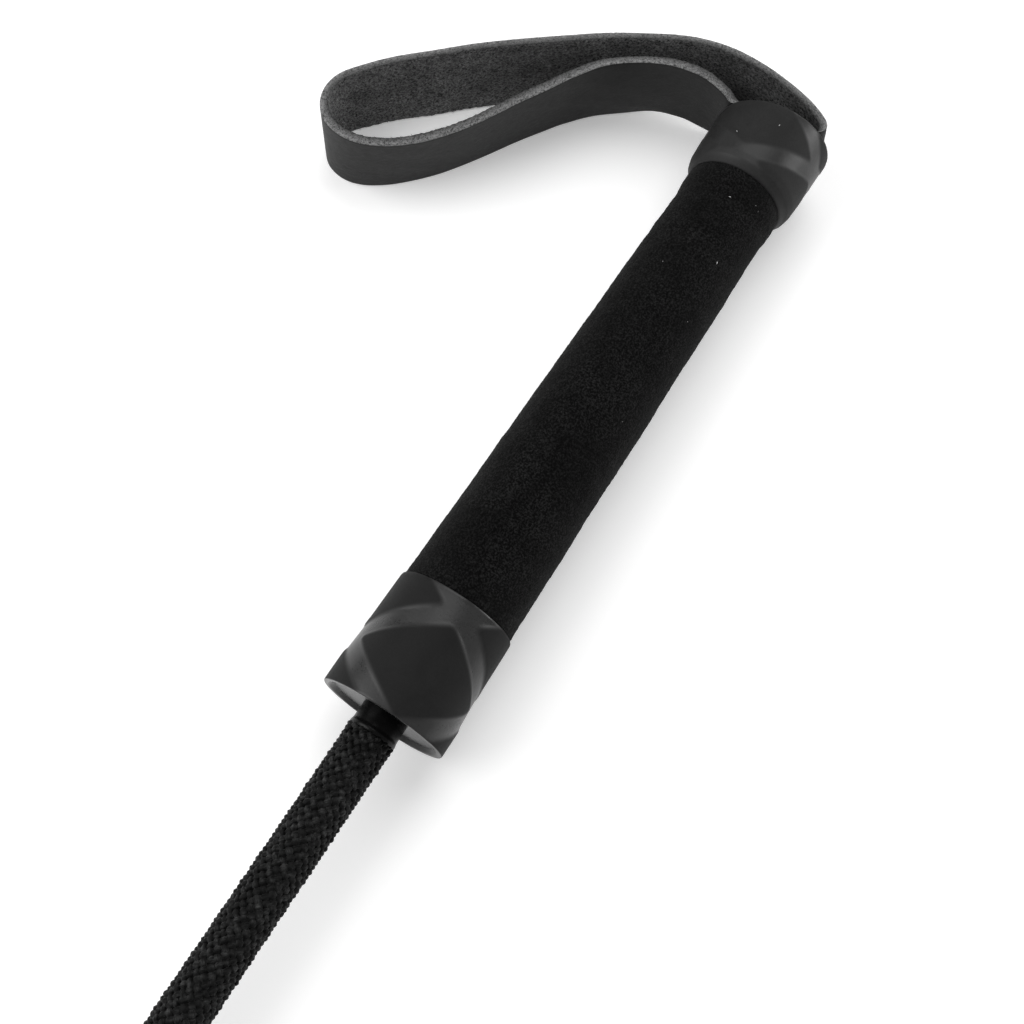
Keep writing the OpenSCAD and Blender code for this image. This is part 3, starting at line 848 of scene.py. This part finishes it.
# folded leather, round at its root and flat in the flap, with the fold's groove along its edges
def buildKeeper(grain, edge):
    k = keeper
    body = np.arange(k["rootX"], k["endX"] - k["corner"], k["step"])
    tip = k["endX"] - k["corner"] + k["corner"] * np.sin(np.linspace(0, math.pi / 2, 16))
    x = np.r_[body, tip]
    flat, side = k["flatFaces"], k["edgeFaces"]
    share = np.linspace(-1, 1, flat)
    bend = np.linspace(-0.5, 0.5, side + 2)[1:-1]
    half = np.where(x < k["throatX"], k["throatHalf"], flapHalf(np.maximum(x, k["flapX"])))
    half = np.interp(x, x, np.convolve(np.pad(half, 4, mode="edge"), np.ones(9) / 9, "valid"))
    half = np.where(x > k["endX"] - k["corner"] - 2, flapHalf(x), half)
    rings = []
    for at, width in zip(x, half):
        r, t = k["rootRadius"], k["thickness"] / 2
        puff = k["puff"] * math.sin(at * 0.9) * math.sin(at * 0.23)
        inner = width - k["edgeRound"]
        zTop, yTop = share * inner, np.full(flat, t) + puff * (1 - share**2)
        fromSeam = np.abs(share) * inner - (width - k["seamIn"])
        yTop = yTop - k["seamDip"] * np.exp(-((fromSeam / 0.35) ** 2)) * (at > k["seamFrom"])
        arc = math.pi * bend
        zEdge = inner + k["edgeRound"] * np.cos(arc) - k["foldGroove"] * np.exp(-((bend / 0.1) ** 2))
        yEdge = -t * np.sin(arc)
        plate = np.r_[np.stack([yTop, zTop], -1), np.stack([yEdge, zEdge], -1),
                      np.stack([-yTop, -zTop], -1), np.stack([-yEdge, -zEdge], -1)]
        turns = np.r_[share * 1.3, 1.3 + (bend + 0.5) * (math.pi - 2.6), math.pi + share * 1.3,
                      math.pi + 1.3 + (bend + 0.5) * (math.pi - 2.6)]
        tube = np.stack([r * np.cos(turns), r * np.sin(turns)], -1)
        mix = smoothStep(np.array(at), *k["flattened"])
        section = tube * (1 - mix) + plate * mix
        section = section + k["uneven"] * np.sin(at * 1.7 + np.arange(len(section))[:, None] * 0.8)
        rings.append(np.c_[np.full(len(section), at), section])
    rings = np.array(rings)
    rings[..., 2] = np.clip(rings[..., 2], -k["reach"], k["reach"])
    size = rings.shape[1]
    kind = np.r_[np.zeros(flat - 1), np.ones(side + 1), np.zeros(flat - 1), np.ones(side + 1)]
    kindRows = np.repeat(kind[None, :], len(x) - 1, 0)
    kindRows[x[:-1] < k["edgeFrom"]] = 0
    laid = np.stack([rings[..., 0], rings[..., 2] + (rings[..., 1] > 0) * 40, rings[..., 1]], -1)
    piece = fromNumpy("keeper", rings.reshape(-1, 3), skinFaces(len(x), size, capEnds=True), [grain, edge],
                      np.r_[kindRows.ravel(), 1, 1], laid.reshape(-1, 3))
    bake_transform(piece)
    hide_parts("keeper_root", "keeper_flap")


# one waxed stitch after another along a line set in from the flap's edge, on both faces
def buildStitches(finish):
    k = keeper
    cornerX, turn = k["endX"] - k["corner"], k["corner"] - k["seamIn"]
    x = np.r_[np.linspace(k["flapX"] + 5, cornerX - 0.2, 60),
              cornerX + turn * np.sin(np.linspace(0.02, math.pi / 2, 24))]
    upper = []
    for at in x:
        into = max(at - cornerX, 0) / turn
        half = flapHalf(np.array(at)) - k["seamIn"] if into <= 0 else (
            k["half"] - k["corner"] + turn * math.sqrt(max(1 - into**2, 0)))
        upper.append((at, float(half)))
    line = np.array(upper + [(at, -half) for at, half in upper[::-1]])
    length = np.r_[0, np.cumsum(np.linalg.norm(np.diff(line, axis=0), axis=1))]
    marks = np.arange(1.0, length[-1] - 1.0, k["stitchPitch"])
    points, faces = [], []
    for face in (1, -1):
        for mark in marks:
            ends = [np.array([np.interp(mark + s, length, line[:, i]) for i in (0, 1)])
                    for s in (-k["stitchLength"] / 2, k["stitchLength"] / 2)]
            along = np.array([ends[1][0] - ends[0][0], 0, ends[1][1] - ends[0][1]])
            reach = np.linalg.norm(along)
            along /= reach
            beside = np.cross(along, (0, 1, 0))
            middle = np.array([(ends[0][0] + ends[1][0]) / 2, face * (k["thickness"] / 2 - 0.08),
                               (ends[0][1] + ends[1][1]) / 2])
            first = len(points)
            for s in np.linspace(-1, 1, 7):
                fat = k["stitchThick"] * math.sqrt(max(1.02 - s**2, 0.02))
                for q in range(6):
                    spoke = 2 * math.pi * q / 6
                    points.append(middle + along * s * reach / 2 + beside * math.cos(spoke) * fat
                                  + np.array([0, math.sin(spoke) * fat, 0]))
            faces += skinFaces(7, 6, capEnds=True, first=first)
    piece = fromNumpy("keeperStitches", points, faces, [finish], laid=points)
    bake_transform(piece)
    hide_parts("keeper_stitching")


keeperGrain = grainFinish("keeperGrain", 0.009, 0.015, level=0.35, rough=0.42)
keeperEdge = fleshFinish("keeperEdge", 0.012, 0.05, 0.35)
buildKeeper(keeperGrain, keeperEdge)
buildStitches(yarnFinish("seamThread", 0.02, 0.06, "laid", 0.12, 0.3, 0.02))
print("keeper and stitches made")


# flecks of lint on the cap and the grip: x, degrees from the top, radius and size
lint = {"flecks": [(-152.0, -27.4, 13.5, 0.3), (-157.6, 4.3, 13.55, 0.32), (-137.2, 2.9, 11.45, 0.34),
                   (-139.6, 32, 11.55, 0.13), (-139.0, 38.4, 11.55, 0.13), (-122.7, 31.3, 11.5, 0.4),
                   (-115.8, -18.6, 11.5, 0.16), (-107.6, 40.6, 11.75, 0.16), (-80.3, 40.6, 12.1, 0.14)],
        "seed": 81}


def buildLint(finish):
    draw = np.random.RandomState(lint["seed"])
    points, faces = [], []
    for x, degrees, radius, size in lint["flecks"]:
        angle = math.radians(degrees)
        away = np.array([0, math.sin(angle), math.cos(angle)])
        along = np.array([draw.normal(), *(draw.normal() * np.array([math.cos(angle), -math.sin(angle)]))])
        along /= np.linalg.norm(along)
        beside = np.cross(along, away)
        first = len(points)
        for s in np.linspace(-1, 1, 5):
            fat = size * 0.3 * math.sqrt(max(1.05 - s**2, 0.05)) * draw.uniform(0.7, 1.2)
            root = np.array([x, radius * away[1], radius * away[2]])
            at = root + along * s * size * 0.8 + away * 0.1 * (1 - s**2)
            for q in range(5):
                turn = 2 * math.pi * q / 5
                points.append(at + beside * math.cos(turn) * fat + away * math.sin(turn) * fat * 0.6)
        faces += skinFaces(5, 5, capEnds=True, first=first)
    piece = fromNumpy("lintFlecks", points, faces, [finish])
    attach(piece, "handle")


buildLint(plainFinish("lintFibre", grey(0.35), grey(0.6), 0.2, 0.9, 0.05, 0.1))

# parts inside the handle and the shaft
dress("front_plug", hardRubber)
dress("butt_plug", hardRubber)
dress("handle_core", woodFinish())
dress("grip_pad", plainFinish("gripFoam", grey(0.09), grey(0.15), 0.8, 0.9, 0.12, 0.1))
dress("core_rod", plainFinish("glassRod", (0.55, 0.55, 0.42), (0.64, 0.63, 0.5), 1.2, 0.35, 0.02, 0.5))
dress("shaft_filler", yarnFinish("fillerYarn", 0.004, 0.014, None, 0.3, 0.1, 0.02))
dress("strap_tacks", plainFinish("tackSteel", grey(0.4), grey(0.55), 0.6, 0.32, 0.02, 0.5, 1.0))
print("lint and inner parts dressed")


def buildFloor():
    finish, tree, shader = newFinish(
        "paleFloor", Roughness=0.9, Specular_IOR_Level=0.0, Emission_Strength=room["paperGlow"])
    shader.inputs["Emission Color"].default_value = room["white"]
    paper = mottle(tree, whereOn(tree), 60.0, 2.0, 0.5)
    darker, lighter = room["paper"]
    tree.links.new(tone(tree, paper, grey(darker), grey(lighter)), shader.inputs["Base Color"])
    half = room["floorHalf"]
    corners = [(-half, -half, floorZ), (half, -half, floorZ), (half, half, floorZ), (-half, half, floorZ)]
    floor = fromNumpy("floor", corners, [(0, 1, 2, 3)], [finish])


buildFloor()
print("finished")
